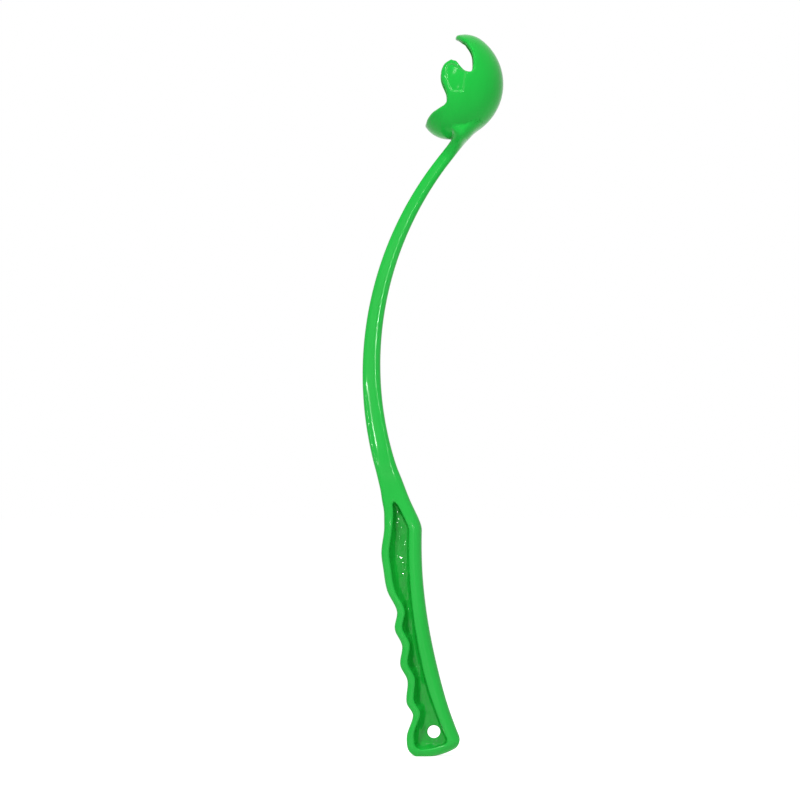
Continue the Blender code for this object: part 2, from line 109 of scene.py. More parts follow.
# Relief panel on a finger, across and up from the cup's centre in outer radii
PANEL_SHARES = (
    (-0.06, 0.20), (-0.04, 0.30), (0.03, 0.355), (0.12, 0.34), (0.22, 0.265), (0.325, 0.185),
    (0.305, 0.02), (0.28, -0.165), (0.17, -0.175), (0.055, -0.165), (-0.02, -0.03),
    (-0.045, 0.08),
)

# Saddle
NECK_REACH = 0.0400
NECK_SINK = 0.0085
CUP_AHEAD = 0.0450
SADDLE_BACK = 0.0070
SADDLE_HORN = 0.0098
SADDLE_FILLET = 0.0010
SADDLE_SWELL_SHARE = 0.7
SADDLE_BACK_ROUND_SHARES = (0.50, 0.70)
# Section of the neck: shares of its reach, and of the arm's size at the top of the arm or
# of the saddle's own size nearer the cup
NECK_FRONT_SHARES = ((0.0, 1.0), (0.40, 1.0), (0.49, 1.30))
HORN_FRONT_SHARES = ((0.57, 1.0), (1.0, 1.0))
NECK_BACK_SHARES = ((0.0, 1.0), (0.45, 1.06))
SEAT_BACK_SHARES = ((0.78, 0.80), (1.0, 1.0))
NECK_DEPTH_SHARES = ((0.0, 1.0), (0.20, 1.12))
SEAT_DEPTH_SHARES = ((0.40, 0.62), (0.57, 1.0), (0.80, 0.97), (1.0, 0.90))

# Arm
ARM_TOP_HALF_DEPTH = 0.0070
ARM_FOOT_HALF_DEPTH = 0.0090
ARM_FRONT_ROUND = 0.0022
ARM_BACK_ROUND = 0.0036
ARM_TAPER_POWER = 0.8
ARM_THINNING = 1.6
FLUTE_DEPTH = 0.0007
FLUTE_START_SHARE, FLUTE_END_SHARE, FLUTE_FADE_SHARE = 0.08, 0.32, 0.2
FOOT_BLEND = 0.0070
TOP_BLEND = 0.0030

# Hand grip
PALM_BEND_RADIUS = 0.364
SHOULDER_LEAN = math.radians(-1.6)
GRIP_LENGTH = 0.1496
HEAD_HEIGHT = 0.0380
GRIP_CENTRE_DOWN = 0.0906
GRIP_CENTRE_FRONT = 0.0117
FIRST_BUMP_SHARE = 0.098
FIRST_SLOPE_SHARES = ((0.17, 0.963), (0.262, 0.9))
GROOVE_START_SHARE = 0.353
GROOVE_PITCH_SHARE = 0.151
BUMP_LAG_SHARE = 0.025
HEEL_SHARES = ((0.877, 0.925), (0.93, 1.0))
FIRST_BUMP_FRONT = 0.0275
GROOVE_GAIN = 0.0007
GROOVES = 3
BUMP_FRONT_TOP = 0.0226
BUMP_FRONT_GAIN = 0.0014
HEEL_FRONT = 0.0344
PALM_START_SHARE = 0.08
PALM_SWELL = 0.0011
PALM_SWELL_SHARES = (
    (0.20, 0.1), (0.38, 0.5), (0.62, 1.0), (0.82, 1.0), (0.95, 1.35), (1.0, 1.4),
)
BUTT_SKEW = 0.0050
BUTT_BOW = 0.0030
FRONT_ROUND = 0.0028
PALM_ROUND = 0.0060
BUTT_ROUND = 0.0065
HEEL_ROUND = 0.0060
HEAD_FRONT_SHARES = (
    (-0.93, 0.897), (-0.65, 0.789), (-0.47, 0.741), (-0.30, 0.696), (-0.12, 0.681),
    (0.04, 0.679),
)
HEAD_BACK_SHARES = (
    (-1.075, 0.549), (-0.85, 0.417), (-0.52, 0.242), (-0.35, 0.145), (-0.16, 0.044),
    (-0.03, 0.003),
)

# Recess, web and hang hole
FRONT_WALL = 0.0058
TIP_WALL = 0.0074
PALM_WALL = 0.0092
PALM_TAPER_SHARE = 0.65
PALM_WALL_LOW_SHARE = 0.8
BUTT_WALL = 0.0060
RECESS_TOP = 0.0182
RECESS_TIP_POWER = 1.25
RECESS_CORNER = 0.0030
RECESS_DRAFT = 0.030
RIM_EDGE_ROUND = 0.0016
WALL_FILLET = 0.0018
FRONT_FILLET = 0.0060
FILLET_CHANGE = 4 * FRONT_FILLET
TIP_FILLET_SHARE = 0.3
HOLE_UP = 0.0147
HOLE_FROM_PALM = 0.0137
HOLE_EDGE_ROUND = 0.0008

# Net of faces: reach of the probes, value far outside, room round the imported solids, rounds
# of settling, and the least slope that a point settles by
PROBE = 0.00012
FAR = 1.0
MARGIN = 0.0022
ROUNDS = 3
LEAST_SLOPE = 0.05

# Plastic: heights between which the arm's polish ends, the mask of the panels' sloping
# sides, and how far the flow stretches its marks
PLASTIC_IOR = 1.49
ARM_POLISH_ENDS = (0.26, 0.34)
PANEL_SLOPE = "panel_slope"
FLOW_STRETCH = (1.0, 1.0, 0.35)
# Marks to a metre, with the noise's detail and roughness, and the noise between which each
# mark shows
SWIRLS, SWIRL_ENDS = (38.0, 3.0), (0.40, 0.70)
SCRATCHES, SCRATCH_ENDS = (900.0, 4.0, 0.7), (0.60, 0.78)
PATCHES, PATCH_ENDS = (60.0, 3.0), (0.48, 0.70)
WAVES, WEB_WAVES, GRAIN = (110.0, 1.0), (300.0, 1.0), (1500.0, 2.0)
# How strongly the marks change the colour, the roughness and the surface
SWIRL_COLOUR, SCUFF_COLOUR = 0.30, 0.30
SCUFF_ROUGHNESS, PATCH_ROUGHNESS = 0.8, 0.15
GRAIN_HEIGHT, BUMP_STRENGTH = 0.16, 0.35

# Stage: the floor's half width, the camera's film and sight, and the lamps by name, place,
# width and power
FLOOR_HALF = 12.0
SENSOR_WIDTH = 36.0
CLIP_END = 60.0
LAMPS = (
    ("key", (-0.8, -2.0, 2.1), 0.5, 36.0),
    ("front", (0.30, -3.2, 0.30), 0.06, 9.0),
    ("top", (-0.5, -0.4, 2.4), 1.2, 10.0),
    ("side", (0.35, -0.5, 0.75), 0.2, 1.5),
)


# Sizes and colours that a user would change


def length(name, default, description):
    """Property that holds a length."""
    return FloatProperty(
        name=name, description=description, default=default, min=0.0, precision=5,
        subtype="DISTANCE", unit="LENGTH",
    )


def angle(name, default, description):
    """Property that holds an angle."""
    return FloatProperty(
        name=name, description=description, default=math.radians(default), subtype="ANGLE",
        unit="ROTATION",
    )


def share(name, default, description):
    """Property that holds a share from 0 to 1."""
    return FloatProperty(
        name=name, description=description, default=default, min=0.0, max=1.0,
        subtype="FACTOR",
    )


def colour(name, default, description):
    """Property that holds a colour."""
    return FloatVectorProperty(
        name=name, description=description, default=default, min=0.0, max=1.0, size=3,
        subtype="COLOR",
    )


class ThrowerSizes(bpy.types.PropertyGroup):
    """Driving sizes of the moulding."""

    cup_radius: length("Cup radius", 0.03775, "Outer radius of the ball cup")
    cup_wall: length("Cup wall", 0.0030, "Thickness of the ball cup")
    curl_radius: length("Curl radius", 0.0190, "Radius of the mouth where it curls in")
    mouth_tilt: angle("Mouth tilt", 18, "How far the mouth looks up")
    saddle_half_depth: length("Saddle half depth", 0.0236, "Half of the saddle's width")
    arm_bend: length("Arm bend", 0.231, "Radius that the arm bends on")
    arm_top_lean: angle("Arm top lean", 37.5, "Lean of the arm where it meets the saddle")
    arm_foot_lean: angle("Arm foot lean", -17, "Lean of the arm where it meets the grip")
    arm_top_width: length("Arm top width", 0.0084, "Width of the arm at the saddle")
    arm_foot_width: length("Arm foot width", 0.0146, "Width of the arm at the grip")
    grip_half_depth: length("Grip half depth", 0.0125, "Half of the grip's thickness")
    groove_depth: length("Groove depth", 0.0030, "Depth of the first finger groove")
    web_thickness: length("Web thickness", 0.0040, "Thickness of the web in the grip")
    hole_radius: length("Hole radius", 0.0043, "Radius of the hang hole")
    face_size: length("Face size", 0.00075, "Size of the net's faces")


class ThrowerFinish(bpy.types.PropertyGroup):
    """Colours and surface of the plastic."""

    green: colour("Green", (0.017, 0.540, 0.060), "Colour of the plastic")
    # Deep green is the colour of the denser flow swirls, and also painted shade over the web
    # in the grip's recess
    deep_green: colour("Deep green", (0.010, 0.450, 0.042), "Colour in its denser swirls")
    scuff_green: colour("Scuff green", (0.060, 0.600, 0.110), "Colour of rubbed plastic")
    roughness: share("Roughness", 0.16, "Roughness of the clean plastic")
    scuff_roughness: share("Scuff roughness", 0.36, "Roughness of rubbed plastic")
    shine: share("Shine", 0.06, "How strongly the bare plastic mirrors the room")
    grip_polish: share("Grip polish", 0.25, "Polish of the arm and the grip")
    web_shine: share("Web shine", 0.24, "How strongly the web in the grip mirrors the room")
    web_roughness: share("Web roughness", 0.05, "Roughness of the web in the grip")
    panel_polish: share("Panel polish", 1.0, "Polish of the panels' sloping sides")
    polish_roughness: share("Polish roughness", 0.10, "Roughness of polished plastic")
    ripple: length("Ripple", 0.00012, "Height of the ripples that the mould leaves")
    web_painted_shade: share("Web painted shade", 0.70, "How much of the web is deep green")
    # Painted shade: darkens the whole web in the grip's recess towards deep green, where the
    # recess lies in shade
    web_ripple: length("Web ripple", 0.0028, "Height of the ripples on the web")


class ThrowerStage(bpy.types.PropertyGroup):
    """Floor, light and camera."""

    paper: colour("Paper", (1.0, 1.0, 1.0), "Colour of the floor and the background")
    room_light: share("Room light", 0.20, "Light that comes from all round")
    paper_glow: share("Paper glow", 0.80, "How bright the paper looks without light")
    frame_width: length("Frame width", 0.544, "Width of the picture at the thrower")
    aim_x: FloatProperty(
        name="Aim across", description="Middle of the picture, across", default=-0.0122,
        unit="LENGTH",
    )
    aim_z: length("Aim up", 0.1809, "Middle of the picture, up")
    camera_away: length("Camera away", 6.0, "Distance of the camera")


# Distance fields


def ease(place):
    """Slow start and slow end between 0 and 1."""
    place = np.clip(place, 0.0, 1.0)
    return place * place * (3 - 2 * place)


def mix(low, high, place):
    """Value that lies a share of the way from low to high."""
    return low + (high - low) * place


def rounded(first, second, radius):
    """Keep what is inside both fields, with a round edge between them."""
    past = np.hypot(np.maximum(first + radius, 0), np.maximum(second + radius, 0))
    return np.minimum(-radius, np.maximum(first, second)) + past


def filleted(first, second, radius):
    """Join two fields, with a fillet in the corner between them."""
    short = np.hypot(np.maximum(radius - first, 0), np.maximum(radius - second, 0))
    return np.maximum(radius, np.minimum(first, second)) - short


def oval_rounded(first, second, first_radius, second_radius):
    """Keep what is inside both fields, with an edge on a quarter of an ellipse."""
    u = np.maximum(first + first_radius, 0) / first_radius
    v = np.maximum(second + second_radius, 0) / second_radius
    reach = np.hypot(u, v)
    steep = np.hypot(u / first_radius, v / second_radius)
    corner = (reach - 1) * reach / np.maximum(steep, 1e-9)
    return np.where((u > 0) & (v > 0), corner, np.maximum(first, second))


class Line:
    """Smooth line through a table of places and values, straight beyond its ends."""

    def __init__(self, table):
        self.place, self.value = np.array(table, float).T
        rise, run = np.diff(self.value), np.diff(self.place)
        inner = (self.value[2:] - self.value[:-2]) / (self.place[2:] - self.place[:-2])
        self.slope = np.concatenate(([rise[0] / run[0]], inner, [rise[-1] / run[-1]]))

    def at(self, place):
        """Value and slope of the line at each place."""
        last = len(self.place) - 1
        low = np.clip(np.searchsorted(self.place, place, side="right") - 1, 0, last - 1)
        span = self.place[low + 1] - self.place[low]
        s = np.clip((place - self.place[low]) / span, 0.0, 1.0)
        leave, arrive = self.slope[low], self.slope[low + 1]
        rise = self.value[low + 1] - self.value[low]
        bend = span * (leave * s * (1 - s) ** 2 - arrive * s * s * (1 - s))
        value = self.value[low] + rise * s * s * (3 - 2 * s) + bend
        slope = 6 * s * (1 - s) * rise / span
        slope += leave * (1 - 4 * s + 3 * s * s) + arrive * (3 * s * s - 2 * s)
        value += self.slope[0] * np.minimum(place - self.place[0], 0)
        value += self.slope[-1] * np.maximum(place - self.place[-1], 0)
        return value, slope

    def gap(self, place, value, sign=1):
        """Distance past the line, square to it."""
        line, slope = self.at(place)
        return sign * (value - line) / np.sqrt(1 + slope * slope)


def smooth_loop(points, steps):
    """Run a closed smooth curve through points in a plane."""
    points = np.array(points, float)
    before, after = np.roll(points, 1, axis=0), np.roll(points, -1, axis=0)
    beyond = np.roll(points, -2, axis=0)
    rows = []
    for step in range(steps):
        s = step / steps
        leave, arrive = (after - before) / 2, (beyond - points) / 2
        bend = leave * s * (1 - s) ** 2 - arrive * s * s * (1 - s)
        rows.append(mix(points, after, s * s * (3 - 2 * s)) + bend)
    return np.stack(rows, axis=1).reshape(-1, 2)


def loop_gap(u, v, outline):
    """Distance from a closed outline in a plane, negative inside it."""
    best = np.full(u.shape, np.inf)
    inside = np.zeros(u.shape, bool)
    for (au, av), (bu, bv) in zip(outline, np.roll(outline, -1, axis=0)):
        du, dv = bu - au, bv - av
        s = np.clip(((u - au) * du + (v - av) * dv) / (du * du + dv * dv), 0, 1)
        best = np.minimum(best, (u - au - s * du) ** 2 + (v - av - s * dv) ** 2)
        if dv:
            inside ^= ((av > v) != (bv > v)) & (u < au + (v - av) * du / dv)
    return np.where(inside, -1.0, 1.0) * np.sqrt(best)


class Moulding:
    """The thrower as one distance field, from its driving sizes."""

    def __init__(self, sizes):
        self.sizes = sizes
        self.front_line = Line(self.grip_front_table())
        self.palm_line = Line(self.grip_palm_table())
        self.wall_middle = sizes.cup_radius - sizes.cup_wall / 2
        front = self.grip_place(*self.grip_front_table()[0])
        back = self.grip_place(*self.grip_palm_table()[0])
        self.foot = (front + back) / 2
        self.arm_centre = self.foot - sizes.arm_bend * self.outward(sizes.arm_foot_lean)
        self.top = self.arm_centre + sizes.arm_bend * self.outward(sizes.arm_top_lean)
        self.forward = self.outward(sizes.arm_top_lean)
        self.along = self.onward(sizes.arm_top_lean)
        self.foot_along = self.onward(sizes.arm_foot_lean)
        sink = sizes.cup_radius - NECK_SINK
        self.cup_centre = self.top + self.along * CUP_AHEAD + self.forward * sink
        self.hole = self.grip_place(GRIP_LENGTH - HOLE_UP, HOLE_FROM_PALM)
        self.make_mouth()
        self.make_saddle_lines()

    # Places and tables

    @staticmethod
    def outward(lean):
        """Direction out of the arm's bend at a lean."""
        return np.array((-math.cos(lean), 0.0, math.sin(lean)))

    @staticmethod
    def onward(lean):
        """Direction up along the arm at a lean."""
        return np.array((math.sin(lean), 0.0, math.cos(lean)))

    def grip_centre(self):
        """Centre of the arc that the palm side follows."""
        lean = SHOULDER_LEAN + GRIP_CENTRE_DOWN / PALM_BEND_RADIUS
        reach = PALM_BEND_RADIUS + GRIP_CENTRE_FRONT
        return reach * np.array((math.cos(lean), 0.0, math.sin(lean)))

    def grip_place(self, down, front):
        """Point of the plane Y = 0, by its place along the palm arc and in front of it."""
        lean = SHOULDER_LEAN + down / PALM_BEND_RADIUS
        radius = PALM_BEND_RADIUS + front
        return self.grip_centre() - radius * np.array((math.cos(lean), 0.0, math.sin(lean)))

    @staticmethod
    def head_table(shares):
        """Places on the grip's head, from shares of its height."""
        return [(HEAD_HEIGHT * down, HEAD_HEIGHT * front) for down, front in shares]

    def grip_front_table(self):
        """Front edge of the grip: head, first bump, and the row of finger grooves."""
        table = self.head_table(HEAD_FRONT_SHARES)
        table.append((GRIP_LENGTH * FIRST_BUMP_SHARE, FIRST_BUMP_FRONT))
        for down, front in FIRST_SLOPE_SHARES:
            table.append((GRIP_LENGTH * down, FIRST_BUMP_FRONT * front))
        pitch = GRIP_LENGTH * GROOVE_PITCH_SHARE
        for groove in range(GROOVES + 1):
            valley = GRIP_LENGTH * GROOVE_START_SHARE + groove * pitch
            front = BUMP_FRONT_TOP + groove * groove * BUMP_FRONT_GAIN / 2
            table.append((valley, front - self.sizes.groove_depth - groove * GROOVE_GAIN))
            if groove < GROOVES:
                lag = 0.5 + groove * groove * BUMP_LAG_SHARE
                table.append((valley + pitch * lag, front))
        for down, front in HEEL_SHARES:
            table.append((GRIP_LENGTH * down, HEEL_FRONT * front))
        table.append((GRIP_LENGTH, HEEL_FRONT))
        return table

    def grip_palm_table(self):
        """Palm edge of the grip: the line down from the arm, the shoulder, then the arc."""
        table = self.head_table(HEAD_BACK_SHARES)
        table.append((HEAD_HEIGHT * PALM_START_SHARE, 0.0))
        for down, out in PALM_SWELL_SHARES:
            table.append((GRIP_LENGTH * down, -PALM_SWELL * out))
        return table

    def make_mouth(self):
        """Prepare the outlines that cut the cup's mouth and its relief panels."""
        half = list(MOUTH_EDGE_DEGREES)
        mirrored = [(360 - around, away) for around, away in reversed(half[1:])]
        table = [(-around, away) for around, away in reversed(half[1:3])] + half + mirrored[:2]
        self.mouth_line = Line([(math.radians(a), math.radians(b)) for a, b in table])
        notch = np.radians(smooth_loop(NOTCH_DEGREES, OUTLINE_STEPS))
        self.notch = self.wall_middle * np.stack(
            (notch[:, 0] * np.sin(notch[:, 1]), notch[:, 1]), axis=1
        )
        self.panel = self.sizes.cup_radius * smooth_loop(PANEL_SHARES, OUTLINE_STEPS)

    def make_saddle_lines(self):
        """Prepare the lines of the saddle's section along the neck."""
        half_width = self.sizes.arm_top_width / 2
        self.saddle_front = self.neck_line(
            (NECK_FRONT_SHARES, half_width), (HORN_FRONT_SHARES, SADDLE_HORN)
        )
        self.saddle_back = self.neck_line(
            (NECK_BACK_SHARES, half_width), (SEAT_BACK_SHARES, SADDLE_BACK)
        )
        self.saddle_depth = self.neck_line(
            (NECK_DEPTH_SHARES, ARM_TOP_HALF_DEPTH),
            (SEAT_DEPTH_SHARES, self.sizes.saddle_half_depth),
        )

    @staticmethod
    def neck_line(*parts):
        """Line along the neck, from tables of shares and the size that each is a share of."""
        return Line([
            (place * NECK_REACH, share * size)
            for shares, size in parts for place, share in shares
        ])

    # Regions

    def cup_outside(self, p):
        """Distance from the cup's outer surface, and the angles of the mouth."""
        tilt = self.sizes.mouth_tilt - math.pi / 2
        x, y, z = (p - self.cup_centre).T
        up = x * math.cos(tilt) - z * math.sin(tilt)
        out = x * math.sin(tilt) + z * math.cos(tilt)
        ring = np.hypot(up, y)
        away, around = np.arctan2(ring, out), np.arctan2(np.abs(y), up)
        shift = self.sizes.cup_radius - self.sizes.curl_radius
        side, ahead = shift * math.sin(CURL_START), shift * math.cos(CURL_START)
        curl = np.hypot(ring - side, out - ahead) - self.sizes.curl_radius
        ball = np.hypot(ring, out) - self.sizes.cup_radius
        return np.where(away >= CURL_START, ball, curl), away, around

    def cup(self, p):
        """Shell whose mouth is cut into a tongue, two fingers and a lip."""
        outside, away, around = self.cup_outside(p)
        shell = np.maximum(outside + self.relief(p, outside), -outside - self.sizes.cup_wall)
        edge, slope = self.mouth_line.at(around)
        opening = self.wall_middle * (away - edge)
        opening /= np.sqrt(1 + (slope / np.maximum(np.sin(away), LEAST_SINE)) ** 2)
        u, v = self.wall_middle * around * np.sin(away), self.wall_middle * away
        low, high = self.notch.min(axis=0) - MARGIN, self.notch.max(axis=0) + MARGIN
        near = (u > low[0]) & (u < high[0]) & (v > low[1]) & (v < high[1])
        near &= np.abs(shell) < 2 * MARGIN
        notch = np.full(len(p), FAR)
        notch[near] = loop_gap(u[near], v[near], self.notch)
        cup = rounded(shell, -filleted(opening, notch, TIP_ROUND), CUP_EDGE_ROUND)
        return cup, outside

    def relief(self, p, outside):
        """Depth of the shallow panel on each finger, with its sloping sides."""
        x, _, z = (p - self.cup_centre).T
        low, high = self.panel.min(axis=0), self.panel.max(axis=0)
        near = (x > low[0]) & (x < high[0]) & (z > low[1]) & (z < high[1])
        near &= np.abs(outside) < 2 * MARGIN
        depth = np.zeros(len(p))
        gap = loop_gap(x[near], z[near], self.panel)
        depth[near] = RELIEF_DEPTH * ease(-gap / RELIEF_SLOPE)
        return depth

    def saddle(self, p, outside):
        """Neck that flares from the arm into a wide seat under the cup."""
        place = p - self.top
        ahead, forward = place @ self.along, place @ self.forward
        front = self.saddle_front.gap(ahead, forward)
        back = self.saddle_back.gap(ahead, -forward)
        side = self.saddle_depth.gap(ahead, np.abs(p[:, 1]))
        depth, _ = self.saddle_depth.at(ahead)
        width = self.saddle_front.at(ahead)[0] + self.saddle_back.at(ahead)[0]
        swell = ease(ahead / (SADDLE_SWELL_SHARE * NECK_REACH))
        back_share, side_share = SADDLE_BACK_ROUND_SHARES
        oval = oval_rounded(
            back, side, mix(ARM_BACK_ROUND, back_share * width, swell),
            mix(ARM_BACK_ROUND, side_share * depth, swell),
        )
        body = np.maximum(rounded(front, side, ARM_FRONT_ROUND), oval)
        body = rounded(body, ahead - NECK_REACH, ARM_FRONT_ROUND)
        return np.maximum(body, -(outside + self.sizes.cup_wall / 2))

    def arm(self, p):
        """Long arm on one arc, tapering up to the cup, with a shallow flute."""
        sizes = self.sizes
        x, y, z = (p - self.arm_centre).T
        lean = np.arctan2(z, -x)
        forward = np.hypot(x, z) - sizes.arm_bend
        climb = (lean - sizes.arm_foot_lean) / (sizes.arm_top_lean - sizes.arm_foot_lean)
        taper = np.clip(climb, 0, 1) ** ARM_TAPER_POWER
        half_width = mix(sizes.arm_foot_width, sizes.arm_top_width, taper) / 2
        half_depth = mix(ARM_FOOT_HALF_DEPTH, ARM_TOP_HALF_DEPTH, ease(climb * ARM_THINNING))
        flute = FLUTE_DEPTH * ease((FLUTE_END_SHARE - climb) / FLUTE_FADE_SHARE)
        flute = flute * ease(climb / FLUTE_START_SHARE)
        across = np.clip(forward / (half_width - ARM_BACK_ROUND / 2), -1, 1)
        side = np.abs(y) - half_depth + flute * (1 - across**4)
        front = rounded(forward - half_width, side, ARM_FRONT_ROUND)
        return np.maximum(front, rounded(-forward - half_width, side, ARM_BACK_ROUND))

    def grip_coordinates(self, p):
        """Place along the palm arc and in front of it."""
        x, _, z = (p - self.grip_centre()).T
        lean = np.arctan2(-z, -x)
        down = (lean - SHOULDER_LEAN) * PALM_BEND_RADIUS
        return down, np.hypot(x, z) - PALM_BEND_RADIUS

    @staticmethod
    def butt_gap(down, front, inset=0.0):
        """Distance past the skewed, bowed butt, square to it."""
        place = np.clip(front / HEEL_FRONT, 0, 1)
        end = GRIP_LENGTH - BUTT_SKEW * place + BUTT_BOW * 4 * place * (1 - place)
        slope = (4 * BUTT_BOW * (1 - 2 * place) - BUTT_SKEW) / HEEL_FRONT
        return (down - end + inset) / np.sqrt(1 + slope * slope)

    def recess_gap(self, down, front):
        """Distance from the recess's outline, negative inside it, and its front share."""
        climb = np.clip(-down / RECESS_TOP, 0, 1)
        lead, slope = self.front_line.at(down)
        tip_lead = self.front_line.at(np.array([-RECESS_TOP]))[0][0]
        tip = tip_lead - TIP_WALL - RECESS_CORNER / 2
        taper = ease((down / GRIP_LENGTH - PALM_TAPER_SHARE) / (1 - PALM_TAPER_SHARE))
        palm = mix(PALM_WALL, PALM_WALL_LOW_SHARE * PALM_WALL, taper)
        palm = mix(palm, tip, climb**RECESS_TIP_POWER)
        wall = mix(FRONT_WALL, TIP_WALL, climb)
        ahead = (front - (lead - wall)) / np.sqrt(1 + slope * slope)
        behind = palm - front
        ends = np.maximum(self.butt_gap(down, front, BUTT_WALL), -RECESS_TOP - down)
        gap = rounded(ahead, ends, RECESS_CORNER)
        gap = np.maximum(gap, rounded(behind, ends, RECESS_CORNER))
        return gap, ease(0.5 + (ahead - behind) / FILLET_CHANGE)

    def grip(self, p):
        """Grip with its finger grooves, both recesses, the web and the hang hole."""
        down, front = self.grip_coordinates(p)
        y = np.abs(p[:, 1])
        head = ease(1 + down / HEAD_HEIGHT)
        ahead = self.front_line.gap(down, front)
        behind = self.palm_line.gap(down, front, -1)
        side = y - mix(ARM_FOOT_HALF_DEPTH, self.sizes.grip_half_depth, head)
        butt = self.butt_gap(down, front)
        body = np.maximum.reduce((
            rounded(ahead, side, mix(ARM_FRONT_ROUND, FRONT_ROUND, head)),
            rounded(behind, side, mix(ARM_BACK_ROUND, PALM_ROUND, head)),
            rounded(butt, ahead, HEEL_ROUND),
            rounded(butt, behind, BUTT_ROUND),
            rounded(butt, side, BUTT_ROUND),
        ))
        gap, lead = self.recess_gap(down, front)
        floor = self.sizes.web_thickness / 2 - y
        fillet = mix(WALL_FILLET, FRONT_FILLET, lead)
        fillet *= mix(TIP_FILLET_SHARE, 1.0, ease((down + RECESS_TOP) / (2 * RECESS_TOP)))
        recess = rounded(gap + RECESS_DRAFT * floor, floor, fillet)
        body = rounded(body, -recess, RIM_EDGE_ROUND)
        x, _, z = (p - self.hole).T
        return rounded(body, self.sizes.hole_radius - np.hypot(x, z), HOLE_EDGE_ROUND)

    # The whole moulding

    def field(self, p):
        """Distance from the moulding's surface, negative in the plastic."""
        past_foot = (p - self.foot) @ self.foot_along
        past_top = (p - self.top) @ self.along
        body = np.full(len(p), FAR)
        low, high = past_foot < FOOT_BLEND, past_top > -TOP_BLEND
        body[low] = self.grip(p[low])
        middle = (past_foot > -FOOT_BLEND) & (past_top < TOP_BLEND)
        arm = self.arm(p[middle])
        foot_share = ease((past_foot[middle] + FOOT_BLEND) / (2 * FOOT_BLEND))
        body[middle] = mix(body[middle], arm, foot_share)
        cup, outside = self.cup(p[high])
        saddle = self.saddle(p[high], outside)
        top_share = ease((past_top[high] + TOP_BLEND) / (2 * TOP_BLEND))
        saddle = mix(body[high], saddle, top_share)
        body[high] = filleted(cup, saddle, SADDLE_FILLET)
        return body

    def region(self, p):
        """Number of the region that each point belongs to."""
        past_foot = (p - self.foot) @ self.foot_along
        past_top = (p - self.top) @ self.along
        gap, _ = self.recess_gap(*self.grip_coordinates(p))
        outside, _, _ = self.cup_outside(p)
        grip = np.where(gap < 0, WEB, RIM)
        head = np.where(outside < 0, CUP, SADDLE)
        return np.where(past_foot < 0, grip, np.where(past_top < 0, ARM, head))

    def slope(self, p, reach):
        """Direction in which the field rises, by four probes round each point."""
        total = np.zeros_like(p)
        for probe in ((1, -1, -1), (-1, -1, 1), (-1, 1, -1), (1, 1, 1)):
            probe = np.array(probe, float)
            total += probe * self.field(p + reach * probe)[:, None]
        return total / (4 * reach)


# Net of faces over the field


def lattice(step):
    """Lines of the lattice along each axis, coarser along the arm."""
    low, high = (np.array(corner) for corner in CAD_BOX)
    arm_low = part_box("grip_rim")[1][2] + 2 * MARGIN
    arm_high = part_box("cup_saddle")[0][2] - 2 * MARGIN
    xs = np.arange(low[0] - MARGIN, high[0] + MARGIN + step, step)
    ys = np.arange(-step / 2, high[1] + MARGIN + step, step)
    zs = np.concatenate((
        np.arange(low[2] - MARGIN, arm_low, step),
        np.arange(arm_low, arm_high, 2 * step),
        np.arange(arm_high, high[2] + MARGIN + step, step),
    ))
    return xs, ys, zs


def sample(moulding, lines):
    """Field and region on the lattice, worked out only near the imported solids."""
    value = np.full([len(line) for line in lines], FAR)
    code = np.zeros(value.shape, np.int8)
    for node in NODES.values():
        low, high = (np.array(corner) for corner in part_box(node))
        span = tuple(
            slice(*np.searchsorted(line, (low[axis] - MARGIN, high[axis] + MARGIN)))
            for axis, line in enumerate(lines)
        )
        grid = np.meshgrid(*(line[part] for line, part in zip(lines, span)), indexing="ij")
        points = np.stack([axis.ravel() for axis in grid], axis=1)
        field = moulding.field(points)
        region = np.where(field < 0, moulding.region(points), 0)
        value[span] = field.reshape(grid[0].shape)
        code[span] = region.reshape(grid[0].shape)
    return value, code


def net(lines, value, code):
    """One point in each lattice cell that the surface or a seam crosses, and the faces."""
    corner_of = [
        tuple(slice(step, size - 1 + step) for step, size in zip(corner, value.shape))
        for corner in product((0, 1), repeat=3)
    ]
    low = np.minimum.reduce([code[part] for part in corner_of])
    high = np.maximum.reduce([code[part] for part in corner_of])
    active = low != high
    index = np.full(active.shape, -1)
    index[active] = np.arange(active.sum())
    cells = np.argwhere(active)
    outer = low[active] == 0
    total, count = np.zeros((len(cells), 3)), np.zeros(len(cells))
    for axis in range(3):
        for side in product((0, 1), repeat=2):
            start = cells + np.insert(side, axis, 0)
            end = cells + np.insert(side, axis, 1)
            here, there = (tuple(at.T) for at in (start, end))
            differ = code[here] != code[there]
            surface = np.minimum(code[here], code[there]) == 0
            use = differ & (surface == outer)
            with np.errstate(divide="ignore", invalid="ignore"):
                s = np.where(surface, value[here] / (value[here] - value[there]), 0.5)
            s = np.clip(np.nan_to_num(s, nan=0.5), 0, 1)[:, None]
            places = [
                np.stack([line[at] for line, at in zip(lines, where)], axis=1)
                for where in (here, there)
            ]
            total[use] += mix(*places, s)[use]
            count[use] += 1
    points = total / np.maximum(count, 1)[:, None]
    faces, sides = [], []
    for axis in range(3):
        ahead = [slice(None)] * 3
        ahead[axis] = slice(1, None)
        behind = [slice(None)] * 3
        behind[axis] = slice(0, -1)
        first, second = code[tuple(behind)], code[tuple(ahead)]
        edges = np.argwhere(first != second)
        others = [other for other in range(3) if other != axis]
        edges = edges[(edges[:, others] > 0).all(axis=1)]
        corners = []
        for back in ((1, 1), (0, 1), (0, 0), (1, 0)):
            cell = edges.copy()
            cell[:, others] -= back
            corners.append(index[tuple(cell.T)])
        quad = np.stack(corners, axis=1)
        if axis == 1:
            quad = quad[:, ::-1]
        faces.append(quad)
        sides.append(np.stack((first[tuple(edges.T)], second[tuple(edges.T)]), axis=1))
    return points, cells[:, 1] == 0, outer, np.concatenate(faces), np.concatenate(sides)


